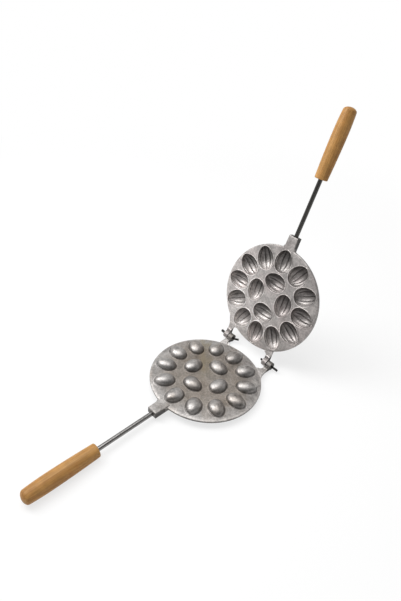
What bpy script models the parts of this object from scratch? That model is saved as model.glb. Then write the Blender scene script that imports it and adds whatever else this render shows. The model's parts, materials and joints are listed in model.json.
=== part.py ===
"""Walnut cake mould: two hinged cast plates, one with bumps and one with ribbed
cavities, each with a steel rod and a wooden grip.

Each casting is modelled face up in its own frame: the origin is the middle of the
face, +Z points out of the face and the handle runs along -Y. The upper casting is the
same casting turned half a turn about the handle's line and then swung open.
"""
import math

import bmesh
import bpy
from mathutils import Matrix, Vector

MM = 0.001

# Plate
PLATE_RADIUS = 100.0 * MM
PLATE_THICKNESS = 5.3 * MM
LOWER_SLOPE = (8.0 * MM, 1.5 * MM)
UPPER_SLOPE = (2.0 * MM, 0.4 * MM)
RIM_ROUND = 1.2 * MM

# Nut layout: the nuts fill the plate, so that their places and sizes go with its radius
OUTER_COUNT = 12
OUTER_RING = 0.744 * PLATE_RADIUS
INNER_COUNT = 4
INNER_RING = 0.319 * PLATE_RADIUS

# Nut cavity in the upper plate
CAVITY_LENGTH = 0.44 * PLATE_RADIUS
CAVITY_WIDTH = 0.34 * PLATE_RADIUS
CAVITY_DEPTH = 0.16 * PLATE_RADIUS
CAVITY_RIBS = 5
RIB_HEIGHT = 1.7 * MM
RIB_SHARPNESS = 1.4
SHELL_WALL = 2.6 * MM
LIP_WIDTH = 1.2 * MM
LIP_HEIGHT = 0.8 * MM
NUT_TAPER = 0.10
NUT_POINT = 0.10
NUT_FULLNESS = 0.85
SINK = 0.2 * MM

# Nut bump on the lower plate: what is left between it and the cavity is the dough
DOUGH_END = 4.0 * MM
DOUGH_SIDE = 3.1 * MM
DOUGH_BOTTOM = 4.2 * MM
BUMP_WALL = 3.2 * MM

# Handle boss
BOSS_END = PLATE_RADIUS + 23.5 * MM
BOSS_ROOT_WIDTH = 22.4 * MM
BOSS_END_WIDTH = 19.4 * MM
BOSS_ROOT_DEPTH = 12.5 * MM
BOSS_END_DEPTH = 15.5 * MM
BOSS_BOTTOM_ROUND = 4.5 * MM
BOSS_TOP_ROUND = 1.2 * MM
BOSS_FILLET = 5.0 * MM

# Handle
ROD_RADIUS = 3.9 * MM
ROD_DEPTH_AT_BOSS = 8.6 * MM
ROD_SPLAY = math.radians(1.8)
ROD_SEAT = 18.0 * MM
ROD_FREE_LENGTH = 107.5 * MM
ROD_IN_GRIP = 95.0 * MM
ROD_CHAMFER = 0.6 * MM
GRIP_LENGTH = 123.5 * MM
GRIP_RADIUS = 13.0 * MM
GRIP_FRONT_RADIUS = 11.5 * MM
GRIP_REAR_RADIUS = 11.6 * MM
GRIP_BELLY = 78.0 * MM
GRIP_DOME = 7.0 * MM
GRIP_EDGE = 1.4 * MM
FIT = 0.3 * MM

# Hinge: each casting has an inner lug at -X and an outer lug at +X
HINGE_REACH = PLATE_RADIUS + 13.7 * MM
LUG_JOIN = 0.492 * PLATE_RADIUS
LUG_WIDTH = 9.7 * MM
LUG_GAP = 1.0 * MM
KNUCKLE_RADIUS = 7.4 * MM
NECK_LENGTH = 5.0 * MM
NECK_RISE = 1.6 * MM
FILLET_TOE = 0.4 * MM
FILLET_SHARE = 1.0
BACK_SHARE = 0.25
FLARE_SHARE = 0.85
WEB_FILLET = 9.0 * MM
PIN_RADIUS = 1.9 * MM
PIN_CLEARANCE = 0.45 * MM
PIN_SPLIT = 0.3 * MM
PIN_TAIL = 12.5 * MM
PIN_EYE_LENGTH = 11.0 * MM
PIN_EYE_RADIUS = 2.0 * MM
PIN_HEAD_GAP = 0.35 * MM
PIN_BEND_RADIUS = 6.0 * MM
LEFT_PIN_ROLL = math.radians(-20)
LEFT_PIN_BENDS = (0.42, -0.38)
RIGHT_PIN_ROLL = math.radians(35)
RIGHT_PIN_BENDS = (0.05, 0.05)

# Pose
OPEN_ANGLE = math.radians(107.3)
CLOSED_GAP = 0.3 * MM

# How finely the round forms are stepped
PLATE_STEPS = 48
ROUND_STEPS = 16
SEAT_STEPS = 20
BASE_STEPS = 5
FILLET_STEPS = 3
BOTTOM_ROUND_STEPS = 3
TOP_ROUND_STEPS = 2
CAVITY_STEPS = 8
BUMP_FAN = 8
SHELL_STEPS = 6
SHELL_FANS = (6, 7)
HOLLOW_STEPS = 6
PIN_EYE_STEPS = 10
PIN_ROUND_STEPS = 5
PIN_BEND_STEP = math.radians(9)
TOUCH = 0.001 * MM

# Followed sizes
FACE_GAP = LIP_HEIGHT + CLOSED_GAP
AXIS_HEIGHT = FACE_GAP / 2
HINGE_POINT = Vector((0, HINGE_REACH, AXIS_HEIGHT))
NECK_START = HINGE_REACH - KNUCKLE_RADIUS - NECK_LENGTH
ARM_END = NECK_START - NECK_RISE
ROD_ORIGIN = Vector((0, -BOSS_END, -ROD_DEPTH_AT_BOSS))
BUMP_LENGTH = CAVITY_LENGTH - 2 * DOUGH_END
BUMP_WIDTH = CAVITY_WIDTH - 2 * DOUGH_SIDE
BUMP_HEIGHT = CAVITY_DEPTH - DOUGH_BOTTOM - FACE_GAP


def clear_scene():
    for obj in list(bpy.data.objects):
        bpy.data.objects.remove(obj, do_unlink=True)


def make_material(name, colour, metallic, roughness):
    material = bpy.data.materials.new(name)
    material.use_nodes = True
    shader = material.node_tree.nodes["Principled BSDF"]
    shader.inputs["Base Color"].default_value = (*colour, 1.0)
    shader.inputs["Metallic"].default_value = metallic
    shader.inputs["Roughness"].default_value = roughness
    return material


def object_from(bm, name):
    bmesh.ops.recalc_face_normals(bm, faces=bm.faces)
    mesh = bpy.data.meshes.new(name)
    bm.to_mesh(mesh)
    bm.free()
    obj = bpy.data.objects.new(name, mesh)
    bpy.context.scene.collection.objects.link(obj)
    return obj


def combine(target, bm, operation):
    """Run one exact Boolean on target with the solid in bm, and keep its result."""
    tool = object_from(bm, "tool")
    modifier = target.modifiers.new(operation.lower(), "BOOLEAN")
    modifier.operation = operation
    modifier.solver = "EXACT"
    modifier.object = tool
    graph = bpy.context.evaluated_depsgraph_get()
    result = bpy.data.meshes.new_from_object(target.evaluated_get(graph))
    target.modifiers.clear()
    target.data = result
    bpy.data.objects.remove(tool, do_unlink=True)


def finish(obj, material, smooth_angle):
    obj.data.materials.clear()
    obj.data.materials.append(material)
    obj.data.shade_smooth()
    obj.data.set_sharp_from_angle(angle=smooth_angle)


# Simple solids, each added to a bmesh


def add_loop(bm, points):
    return [bm.verts.new(point) for point in points]


def add_prism(bm, base, shift):
    """A closed prism: a flat outline and its copy moved by shift."""
    near = add_loop(bm, base)
    far = add_loop(bm, [Vector(point) + Vector(shift) for point in base])
    bm.faces.new(near)
    bm.faces.new(list(reversed(far)))
    for i in range(len(near)):
        k = (i + 1) % len(near)
        bm.faces.new((near[i], near[k], far[k], far[i]))
    return near + far


def turned(profile, steps):
    """A solid turned about Z from (radius, height) points, with flat ends."""
    bm = bmesh.new()
    lean = math.pi / steps
    verts = add_loop(bm, [(r * math.cos(lean), r * math.sin(lean), z) for r, z in profile])
    edges = [bm.edges.new(pair) for pair in zip(verts, verts[1:])]
    bmesh.ops.spin(
        bm,
        geom=verts + edges,
        cent=(0, 0, 0),
        axis=(0, 0, 1),
        angle=math.tau,
        steps=steps,
        use_merge=True,
    )
    bmesh.ops.holes_fill(bm, edges=bm.edges, sides=steps)
    return bm


def arc(centre, radius, start, end, steps):
    """Points on an arc in a plane, with angles in radians."""
    angles = [start + (end - start) * i / steps for i in range(steps + 1)]
    return [(centre[0] + radius * math.cos(a), centre[1] + radius * math.sin(a)) for a in angles]


# Nuts


def nut_places(height):
    """Each nut's middle at one height, and the heading of its pointed end."""
    rise = Vector((0, 0, height))
    places = []
    for i in range(OUTER_COUNT):
        turn = math.tau * i / OUTER_COUNT - math.pi / 2
        spot = Vector((math.cos(turn), math.sin(turn), 0)) * OUTER_RING + rise
        places.append((spot, turn))
    for i in range(INNER_COUNT):
        turn = math.tau * i / INNER_COUNT
        spot = Vector((math.cos(turn), math.sin(turn), 0)) * INNER_RING + rise
        side = 1 if math.cos(turn) > -0.5 else -1
        places.append((spot, turn + side * math.pi / 2))
    return places


def nut_width_at(t, half_width):
    """Half width at the station t, from 0 at the pointed end to pi at the blunt one."""
    point = 1 - NUT_POINT * max(0.0, math.cos(t)) ** 4
    return half_width * math.sin(t) * (1 - NUT_TAPER * math.cos(t)) * point


def fan(steps):
    """Angles across a nut, from one side of its mouth to the other."""
    return [math.pi * i / steps for i in range(steps + 1)]


def rib_fan():
    """The same with a point on each rib and between, and finer where the ribs are high."""
    quarters = range(4 * CAVITY_RIBS + 1)
    kept = [k for k in quarters if k % 2 == 0 or CAVITY_RIBS <= k <= 3 * CAVITY_RIBS]
    return [math.pi * k / quarters[-1] for k in kept]


def add_nut(bm, place, size, skirt, long_steps, across_angles, rib=0.0):
    """Half a nut that bulges from its mouth, closed by a straight skirt.

    size is its length, width and signed depth. rib is the height of the sharp ribs that run
    from end to end inside it, and fade out at the ends and at the mouth.
    """
    length, width, depth = size
    spot, heading = place
    turn = Matrix.Translation(spot) @ Matrix.Rotation(heading, 4, "Z")
    lift = Vector((0, 0, -math.copysign(skirt, depth)))
    rows = []
    for i in range(1, long_steps):
        t = math.pi * i / long_steps
        half_width = nut_width_at(t, width / 2)
        sink = depth * math.sin(t) ** NUT_FULLNESS
        row = []
        for v in across_angles:
            crest = (1 - abs(math.cos(CAVITY_RIBS * v))) ** RIB_SHARPNESS
            crest *= math.sqrt(abs(math.sin(v))) * math.sin(t)
            shrink = 1 - 2 * rib / width * crest
            row.append(turn @ Vector((
                length / 2 * math.cos(t),
                half_width * math.cos(v) * shrink,
                sink * math.sin(v) * shrink,
            )))
        rows.append(add_loop(bm, row))
    tip = bm.verts.new(turn @ Vector((length / 2, 0, 0)))
    tail = bm.verts.new(turn @ Vector((-length / 2, 0, 0)))
    for j in range(len(across_angles) - 1):
        bm.faces.new((tip, rows[0][j], rows[0][j + 1]))
        bm.faces.new((tail, rows[-1][j + 1], rows[-1][j]))
        for near, far in zip(rows, rows[1:]):
            bm.faces.new((near[j], far[j], far[j + 1], near[j + 1]))
    mouth = [tip] + [row[0] for row in rows] + [tail] + [row[-1] for row in reversed(rows)]
    lid = add_loop(bm, [vert.co + lift for vert in mouth])
    bm.faces.new(lid)
    for i in range(len(mouth)):
        k = (i + 1) % len(mouth)
        bm.faces.new((mouth[i], mouth[k], lid[k], lid[i]))


def nut_outline(place, length, width, steps):
    """The outline of a nut's mouth."""
    spot, heading = place
    turn = Matrix.Translation(spot) @ Matrix.Rotation(heading, 4, "Z")
    points = []
    for i in range(2 * steps):
        t = math.pi * i / steps
        half_width = nut_width_at(min(t, math.tau - t), width / 2)
        across = half_width if t < math.pi else -half_width
        points.append(turn @ Vector((length / 2 * math.cos(t), across, 0)))
    return points


# Casting


def plate_disc(name, slope):
    """The round plate, with its sloped rim and rounded edge."""
    width, drop = slope
    outer = PLATE_RADIUS
    bottom = -PLATE_THICKNESS
    profile = [
        (outer - RIM_ROUND - width, 0),
        (outer - RIM_ROUND, -drop),
        (outer, -drop - RIM_ROUND),
        (outer, bottom + RIM_ROUND),
        (outer - RIM_ROUND, bottom),
    ]
    return object_from(turned(profile, PLATE_STEPS), name)


def flat_edge(slope):
    """Radius just outside the flat of the face, where the boss and the lugs begin."""
    return PLATE_RADIUS - RIM_ROUND - slope[0] + SINK


def boss(slope):
    """The handle boss: it narrows and deepens towards the rod."""
    end = -BOSS_END
    sections = (
        (-flat_edge(slope), BOSS_ROOT_WIDTH / 2, BOSS_ROOT_DEPTH),
        (end, BOSS_END_WIDTH / 2, BOSS_END_DEPTH),
    )
    bm = bmesh.new()
    near, far = [
        add_loop(bm, [(-half, y, 0), (half, y, 0), (half, y, -deep), (-half, y, -deep)])
        for y, half, deep in sections
    ]
    bm.faces.new(near)
    bm.faces.new(list(reversed(far)))
    for i in range(4):
        k = (i + 1) % 4
        bm.faces.new((near[i], near[k], far[k], far[i]))
    low_edges = [bm.edges.get(pair) for pair in ((near[2], far[2]), (near[3], far[3]), (far[2], far[3]))]
    bmesh.ops.bevel(bm, geom=low_edges, offset=BOSS_BOTTOM_ROUND, segments=BOTTOM_ROUND_STEPS,
                    profile=0.5, affect="EDGES")
    rim = [e for e in bm.edges if all(v.co.z > -TOUCH for v in e.verts)]
    rim = [e for e in rim if min(v.co.y for v in e.verts) < end + TOUCH]
    bmesh.ops.bevel(bm, geom=rim, offset=BOSS_TOP_ROUND, segments=TOP_ROUND_STEPS, profile=0.5,
                    affect="EDGES")
    return bm


def lug_spans():
    """The X range of the inner lug and of the outer lug."""
    inner_edge = LUG_JOIN - LUG_GAP / 2
    outer_edge = LUG_JOIN + LUG_GAP / 2
    return (-inner_edge, -inner_edge + LUG_WIDTH), (outer_edge, outer_edge + LUG_WIDTH)


def widest_fillet(x, away):
    """The largest fillet between an arm's side and the rim that still ends before the arm does."""
    reach = ARM_END - FILLET_TOE
    return (reach ** 2 - PLATE_RADIUS ** 2 + x ** 2) / (2 * (PLATE_RADIUS - away * x))


def root_outline(sides, slope):
    """The outline of an arm's root: a fillet on each side, and a base along the face's flat.

    sides gives, for the low and the high side, the arm's x and the fillet's radius.
    """
    curves = []
    for (x, fillet), away in zip(sides, (-1, 1)):
        centre_x = x + away * fillet
        centre_y = math.sqrt((PLATE_RADIUS + fillet) ** 2 - centre_x ** 2)
        lean = math.atan2(centre_x, centre_y)
        start = math.pi / 2 * (1 + away)
        stop = start + away * (math.pi / 2) - lean
        steps = FILLET_STEPS + round(fillet / BOSS_FILLET)
        curves.append(arc((centre_x, centre_y), fillet, start, stop, steps))
    ends = [math.atan2(curve[-1][1], curve[-1][0]) for curve in curves]
    base = arc((0, 0), flat_edge(slope), ends[0], ends[1], BASE_STEPS)
    return curves[0] + base + list(reversed(curves[1]))


def boss_root(slope):
    """The fillets where the boss leaves the rim."""
    half = BOSS_ROOT_WIDTH / 2
    outline = root_outline(((-half, BOSS_FILLET), (half, BOSS_FILLET)), slope)
    bm = bmesh.new()
    height = PLATE_THICKNESS - 2 * SINK
    add_prism(bm, [(x, -y, SINK - PLATE_THICKNESS) for x, y in outline], (0, 0, height))
    return bm


def lug(sides, slope):
    """One hinge lug: an arm that leaves the rim and ends in a round knuckle.

    sides gives, for the low and the high side, x and the share of the widest fillet.
    """
    bottom = SINK - PLATE_THICKNESS
    (low_x, _), (high_x, _) = sides
    fillets = [(x, share * widest_fillet(x, away)) for (x, share), away in zip(sides, (-1, 1))]
    outline = [(low_x, ARM_END)] + root_outline(fillets, slope) + [(high_x, ARM_END)]
    bm = bmesh.new()
    add_prism(bm, [(x, y, bottom) for x, y in outline], (0, 0, -bottom))
    front = math.asin((NECK_RISE - AXIS_HEIGHT) / KNUCKLE_RADIUS)
    back = math.asin((AXIS_HEIGHT - bottom) / KNUCKLE_RADIUS)
    knuckle = arc((HINGE_REACH, AXIS_HEIGHT), KNUCKLE_RADIUS, math.pi - front, back - math.pi,
                  ROUND_STEPS)
    side = [(ARM_END, bottom), (ARM_END, 0), (NECK_START, NECK_RISE)] + knuckle
    add_prism(bm, [(low_x, y, z) for y, z in side], (high_x - low_x, 0, 0))
    joint = [f for f in bm.faces if all(abs(v.co.y - ARM_END) < TOUCH for v in f.verts)]
    bmesh.ops.delete(bm, geom=joint, context="FACES_ONLY")
    bmesh.ops.remove_doubles(bm, verts=bm.verts, dist=TOUCH)
    return bm


def lug_web(span, slope):
    """The web that fills the corner between the inner lug and the rim, on its middle side."""
    low_x, high_x = span
    outline = root_outline((((low_x + high_x) / 2, BOSS_TOP_ROUND), (high_x - SINK, WEB_FILLET)), slope)
    bm = bmesh.new()
    bottom = 2 * SINK - PLATE_THICKNESS
    add_prism(bm, [(x, y, bottom) for x, y in outline], (0, 0, -bottom - SINK))
    return bm


def add_bar(bm, radius, steps, start, end):
    """A round bar from start to end."""
    axis = (end - start).normalized()
    turn = Vector((0, 0, 1)).rotation_difference(axis).to_matrix()
    ring = [turn @ Vector((radius * math.cos(math.tau * i / steps),
                           radius * math.sin(math.tau * i / steps), 0)) for i in range(steps)]
    add_prism(bm, [start + point for point in ring], end - start)


def rod_axis():
    """The way the rod runs out of the boss, splayed away from the face."""
    return Vector((0, -math.cos(ROD_SPLAY), -math.sin(ROD_SPLAY)))


def bores():
    """The cutters that both castings share: the rod's seat and the pin holes."""
    bm = bmesh.new()
    axis = rod_axis()
    add_bar(bm, ROD_RADIUS + FIT, SEAT_STEPS, ROD_ORIGIN + axis * ROD_RADIUS,
            ROD_ORIGIN - axis * (ROD_SEAT + FIT))
    for low_x, high_x in lug_spans():
        add_bar(bm, PIN_RADIUS + PIN_CLEARANCE, ROUND_STEPS,
                Vector((low_x - PIN_RADIUS, HINGE_REACH, AXIS_HEIGHT)),
                Vector((high_x + PIN_RADIUS, HINGE_REACH, AXIS_HEIGHT)))
    return bm


def two_lots(places):
    """The nuts in two lots, every other one round each ring, so that no two in a lot touch."""
    return places[0::2], places[1::2]


def cavity_shells(places, round_steps):
    """The walls behind the cavities, which show as smooth nuts on the plate's back."""
    length = CAVITY_LENGTH + 2 * SHELL_WALL
    width = CAVITY_WIDTH + 2 * SHELL_WALL
    depth = CAVITY_DEPTH + SHELL_WALL - PLATE_THICKNESS / 2
    bm = bmesh.new()
    for place in places:
        add_nut(bm, place, (length, width, -depth), SINK, SHELL_STEPS, fan(round_steps))
    return bm


def lips(places):
    """The raised rim round each cavity's mouth."""
    length = CAVITY_LENGTH + 2 * LIP_WIDTH
    width = CAVITY_WIDTH + 2 * LIP_WIDTH
    bm = bmesh.new()
    for place in places:
        edge = nut_outline(place, length, width, CAVITY_STEPS)
        add_prism(bm, edge, (0, 0, PLATE_THICKNESS / 2 + LIP_HEIGHT))
    return bm


def cavities():
    """The ribbed cavities, cut through the lips."""
    size = (CAVITY_LENGTH, CAVITY_WIDTH, -CAVITY_DEPTH)
    bm = bmesh.new()
    for place in nut_places(0):
        add_nut(bm, place, size, LIP_HEIGHT + FIT, CAVITY_STEPS, rib_fan(), RIB_HEIGHT)
    return bm


def bumps():
    """The smooth bumps that press the dough into the cavities."""
    size = (BUMP_LENGTH, BUMP_WIDTH, BUMP_HEIGHT + SINK)
    bm = bmesh.new()
    for place in nut_places(-SINK):
        add_nut(bm, place, size, SINK, CAVITY_STEPS, fan(BUMP_FAN))
    return bm


def hollows():
    """The hollows that keep the wall under each bump even."""
    height = PLATE_THICKNESS + SINK + BUMP_HEIGHT - BUMP_WALL
    size = (BUMP_LENGTH - 2 * BUMP_WALL, BUMP_WIDTH - 2 * BUMP_WALL, height)
    bm = bmesh.new()
    for place in nut_places(-PLATE_THICKNESS - SINK):
        add_nut(bm, place, size, SINK, HOLLOW_STEPS, fan(HOLLOW_STEPS))
    return bm


def bare_casting(name, slope):
    """A plate with its boss and lugs."""
    plate = plate_disc(name, slope)
    inner, outer = lug_spans()
    combine(plate, boss_root(slope), "UNION")
    combine(plate, boss(slope), "UNION")
    combine(plate, lug(((inner[0], BACK_SHARE), (inner[1], FILLET_SHARE)), slope), "UNION")
    combine(plate, lug_web(inner, slope), "UNION")
    combine(plate, lug(((outer[0], FILLET_SHARE), (outer[1], FLARE_SHARE)), slope), "UNION")
    combine(plate, bores(), "DIFFERENCE")
    return plate


def bump_casting(name):
    plate = bare_casting(name, LOWER_SLOPE)
    combine(plate, bumps(), "UNION")
    combine(plate, hollows(), "DIFFERENCE")
    return plate


def cavity_casting(name):
    plate = bare_casting(name, UPPER_SLOPE)
    # Touching shells have unlike steps, so that their edges don't meet point to point.
    for places, round_steps in zip(two_lots(nut_places(-PLATE_THICKNESS / 2)), SHELL_FANS):
        combine(plate, cavity_shells(places, round_steps), "UNION")
        combine(plate, lips(places), "UNION")
    combine(plate, cavities(), "DIFFERENCE")
    return plate


# Handle


def rod(name):
    """The steel rod along Z: its seat in the boss is below 0, the grip is above."""
    length = ROD_FREE_LENGTH + ROD_IN_GRIP
    inner = ROD_RADIUS - ROD_CHAMFER
    profile = [
        (inner, -ROD_SEAT),
        (ROD_RADIUS, -ROD_SEAT + ROD_CHAMFER),
        (ROD_RADIUS, length - ROD_CHAMFER),
        (inner, length),
    ]
    return object_from(turned(profile, ROUND_STEPS), name)


def grip_radius(s):
    """Radius of the grip at the distance s from its front face, without the end rounds."""
    if s < GRIP_BELLY:
        share = 1 - s / GRIP_BELLY
        return GRIP_RADIUS - (GRIP_RADIUS - GRIP_FRONT_RADIUS) * share ** 2
    share = (s - GRIP_BELLY) / (GRIP_LENGTH - GRIP_DOME - GRIP_BELLY)
    return GRIP_RADIUS - (GRIP_RADIUS - GRIP_REAR_RADIUS) * share ** 2


def grip_outline():
    """Points (radius, distance from the front face) along the grip's outside."""
    front = [(GRIP_FRONT_RADIUS - GRIP_EDGE, 0), (grip_radius(GRIP_EDGE), GRIP_EDGE)]
    body = [GRIP_BELLY * share for share in (0.25, 0.55, 0.8, 1.0)]
    rear = GRIP_LENGTH - GRIP_DOME
    body += [GRIP_BELLY + (rear - GRIP_BELLY) * share for share in (0.35, 0.7, 1.0)]
    outline = front + [(grip_radius(s), s) for s in body]
    for turn in (25, 50, 75):
        a = math.radians(turn)
        outline.append((GRIP_REAR_RADIUS * math.cos(a), rear + GRIP_DOME * math.sin(a)))
    return outline


def grip(name):
    """The turned wooden grip along Z, with a blind bore for the rod."""
    bore = ROD_RADIUS + FIT
    profile = [(bore, ROD_IN_GRIP + FIT), (bore, 0)] + grip_outline()
    return object_from(turned(profile, ROUND_STEPS), name)


# Hinge pins


def pin_path(length, bends):
    """Centre line of the pin's wire: up one leg, round the eye and down the other.

    It lies in the pin's own plane, with the eye at -x and the tails past x = length.
    bends gives the turn of the upper and of the lower leg in radians, each away from the other.
    """
    half_split = PIN_SPLIT / 2
    legs = []
    for bend in bends:
        leg = [(0, half_split), (length / 2, half_split), (length, half_split)]
        x, w, turned = length, half_split, 0.0
        steps = max(1, round(abs(bend) / PIN_BEND_STEP))
        stride = 2 * PIN_BEND_RADIUS * math.sin(abs(bend) / steps / 2)
        for _ in range(steps):
            turned += bend / steps / 2
            x += stride * math.cos(turned)
            w += stride * math.sin(turned)
            turned += bend / steps / 2
            leg.append((x, w))
        straight = PIN_TAIL - stride * steps
        leg.append((x + straight * math.cos(turned), w + straight * math.sin(turned)))
        legs.append(leg)
    centre = -PIN_HEAD_GAP - PIN_EYE_LENGTH + PIN_RADIUS + PIN_EYE_RADIUS
    lean = math.acos(PIN_EYE_RADIUS / -centre)
    eye = arc((centre, 0), PIN_EYE_RADIUS, lean, math.tau - lean, PIN_EYE_STEPS)
    mirrored = [(x, -w) for x, w in legs[1]]
    return list(reversed(legs[0])) + eye + mirrored


def split_pin(name, length, bends):
    """A split pin of half-round wire, swept along its path."""
    path = [Vector(point) for point in pin_path(length, bends)]
    flat = math.asin(PIN_SPLIT / 2 / PIN_RADIUS)
    section = []
    for i in range(PIN_ROUND_STEPS + 1):
        a = flat + (math.pi - 2 * flat) * i / PIN_ROUND_STEPS
        section.append((PIN_RADIUS * math.sin(a) - PIN_SPLIT / 2, PIN_RADIUS * math.cos(a)))
    bm = bmesh.new()
    rings = []
    for i, point in enumerate(path):
        before = (point - path[i - 1]).normalized() if i > 0 else None
        after = (path[i + 1] - point).normalized() if i + 1 < len(path) else None
        along = ((before or after) + (after or before)).normalized()
        out = Vector((along.y, -along.x))
        widen = 1 / max(0.7, (before or after).dot(along))
        ring = [(point.x + out.x * n * widen, b, point.y + out.y * n * widen) for n, b in section]
        rings.append(add_loop(bm, ring))
    bm.faces.new(rings[0])
    bm.faces.new(list(reversed(rings[-1])))
    for near, far in zip(rings, rings[1:]):
        for k in range(len(near)):
            m = (k + 1) % len(near)
            bm.faces.new((near[k], far[k], far[m], near[m]))
    return object_from(bm, name)


# Assembly


def rest_angle():
    """The tilt of the lower half on a surface, where its knuckles and its grip bear."""
    along = rod_axis()
    below = Vector((0, along.z, -along.y))
    steepest = 0.0
    for radius, s in grip_outline():
        spot = ROD_ORIGIN + along * (ROD_FREE_LENGTH + s) - below * radius
        gap = HINGE_POINT - spot
        distance = math.hypot(gap.y, gap.z)
        angle = math.atan2(gap.z, gap.y) - math.asin(KNUCKLE_RADIUS / distance)
        steepest = max(steepest, angle)
    return steepest


def empty(name, parent, matrix):
    obj = bpy.data.objects.new(name, None)
    obj.empty_display_size = 20 * MM
    bpy.context.scene.collection.objects.link(obj)
    obj.parent = parent
    obj.matrix_basis = matrix
    return obj


def attach(obj, parent, matrix):
    obj.parent = parent
    obj.matrix_basis = matrix


def stand_on_surface(root, pieces):
    """Move the root so that the box round all pieces stands on Z = 0, centred in X and Y."""
    bpy.context.view_layer.update()
    points = [piece.matrix_world @ vert.co for piece in pieces for vert in piece.data.vertices]
    low = [min(point[i] for point in points) for i in range(3)]
    high = [max(point[i] for point in points) for i in range(3)]
    root.location.x -= (low[0] + high[0]) / 2
    root.location.y -= (low[1] + high[1]) / 2
    root.location.z -= low[2]
    bpy.context.view_layer.update()


def build():
    clear_scene()
    aluminium = make_material("cast_aluminium", (0.42, 0.405, 0.385), 0.9, 0.42)
    steel = make_material("rod_steel", (0.30, 0.29, 0.28), 0.95, 0.32)
    wood = make_material("varnished_wood", (0.55, 0.32, 0.14), 0.0, 0.45)
    dark_steel = make_material("pin_steel", (0.05, 0.045, 0.04), 0.8, 0.5)

    root = empty("mould_base", None, Matrix.Rotation(-rest_angle(), 4, "X"))
    hinge_turn = Matrix.Rotation(-OPEN_ANGLE, 4, "X")
    hinge = empty("hinge_axis", root, Matrix.Translation(HINGE_POINT) @ hinge_turn)
    turned_over = Matrix.Translation((0, -HINGE_REACH, FACE_GAP - AXIS_HEIGHT))
    turned_over = turned_over @ Matrix.Rotation(math.pi, 4, "Y")
    to_rod = Vector((0, 0, 1)).rotation_difference(rod_axis()).to_matrix().to_4x4()
    rod_place = Matrix.Translation(ROD_ORIGIN) @ to_rod
    grip_place = rod_place @ Matrix.Translation((0, 0, ROD_FREE_LENGTH))

    pieces = []
    halves = (
        ("lower", bump_casting, root, Matrix.Identity(4)),
        ("upper", cavity_casting, hinge, turned_over),
    )
    for half, casting, parent, place in halves:
        plate = casting(half + "_plate")
        attach(plate, parent, place)
        finish(plate, aluminium, math.radians(32))
        steel_rod = rod(half + "_rod")
        attach(steel_rod, parent, place @ rod_place)
        finish(steel_rod, steel, math.radians(40))
        wood_grip = grip(half + "_grip")
        attach(wood_grip, parent, place @ grip_place)
        finish(wood_grip, wood, math.radians(50))
        pieces += [plate, steel_rod, wood_grip]

    inner, outer = lug_spans()
    reach = 2 * LUG_WIDTH + LUG_GAP
    pins = (
        ("left_split_pin", inner[1] - reach, LEFT_PIN_ROLL, LEFT_PIN_BENDS),
        ("right_split_pin", outer[1] - reach, RIGHT_PIN_ROLL, RIGHT_PIN_BENDS),
    )
    for name, start_x, roll, bends in pins:
        pin = split_pin(name, reach + PIN_HEAD_GAP, bends)
        place = Matrix.Translation((start_x - PIN_HEAD_GAP / 2, HINGE_REACH, AXIS_HEIGHT))
        attach(pin, root, place @ Matrix.Rotation(roll, 4, "X"))
        finish(pin, dark_steel, math.radians(50))
        pieces.append(pin)
    stand_on_surface(root, pieces)


build()
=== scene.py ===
"""Walnut cake mould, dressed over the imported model: two fine castings, their rods, turned wooden grips
and the split pins of the hinge.

Each casting is shaped face up in its own place: the origin is the middle of the face, +Z points out of
the face and the handle runs along -Y.
"""
import json
import math

import bmesh
import bpy
from mathutils import Matrix, Vector


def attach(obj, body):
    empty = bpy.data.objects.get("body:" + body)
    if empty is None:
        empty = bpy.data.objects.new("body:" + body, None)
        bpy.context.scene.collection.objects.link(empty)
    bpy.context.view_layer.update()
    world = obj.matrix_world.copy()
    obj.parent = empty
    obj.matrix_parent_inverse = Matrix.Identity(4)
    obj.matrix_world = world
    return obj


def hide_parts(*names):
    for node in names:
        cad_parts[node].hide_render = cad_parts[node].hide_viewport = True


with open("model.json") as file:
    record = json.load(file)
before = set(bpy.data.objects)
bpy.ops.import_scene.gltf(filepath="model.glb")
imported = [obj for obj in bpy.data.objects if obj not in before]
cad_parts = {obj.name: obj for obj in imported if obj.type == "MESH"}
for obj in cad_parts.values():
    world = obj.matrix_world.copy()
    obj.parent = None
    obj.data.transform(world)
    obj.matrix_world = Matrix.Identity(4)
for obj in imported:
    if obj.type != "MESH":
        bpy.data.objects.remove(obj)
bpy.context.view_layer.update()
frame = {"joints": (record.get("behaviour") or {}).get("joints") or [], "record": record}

MM = 0.001

# Plate
PLATE_RADIUS = 100.0 * MM
PLATE_THICKNESS = 5.3 * MM
LOWER_SLOPE = (8.0 * MM, 1.5 * MM)
UPPER_SLOPE = (2.0 * MM, 0.4 * MM)
RIM_ROUND = 1.2 * MM
PLATE_STEPS = 180

# Nut layout
OUTER_COUNT = 12
OUTER_RING = 0.744 * PLATE_RADIUS
INNER_COUNT = 4
INNER_RING = 0.319 * PLATE_RADIUS

# Nut cavity
CAVITY_LENGTH = 0.44 * PLATE_RADIUS
CAVITY_WIDTH = 0.34 * PLATE_RADIUS
CAVITY_DEPTH = 0.16 * PLATE_RADIUS
CAVITY_RIBS = 5
RIB_HEIGHT = 1.7 * MM
RIB_SHARPNESS = 1.6
SHELL_WALL = 2.6 * MM
LIP_WIDTH = 1.2 * MM
LIP_HEIGHT = 0.8 * MM
LIP_ROUND = 0.35 * MM
NUT_TAPER = 0.10
NUT_POINT = 0.10
NUT_FULLNESS = 0.85
SINK = 0.2 * MM

# Nut bump
DOUGH_END = 4.0 * MM
DOUGH_SIDE = 3.1 * MM
DOUGH_BOTTOM = 4.2 * MM
BUMP_WALL = 3.2 * MM
BUMP_FOOT = 1.3 * MM

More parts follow.
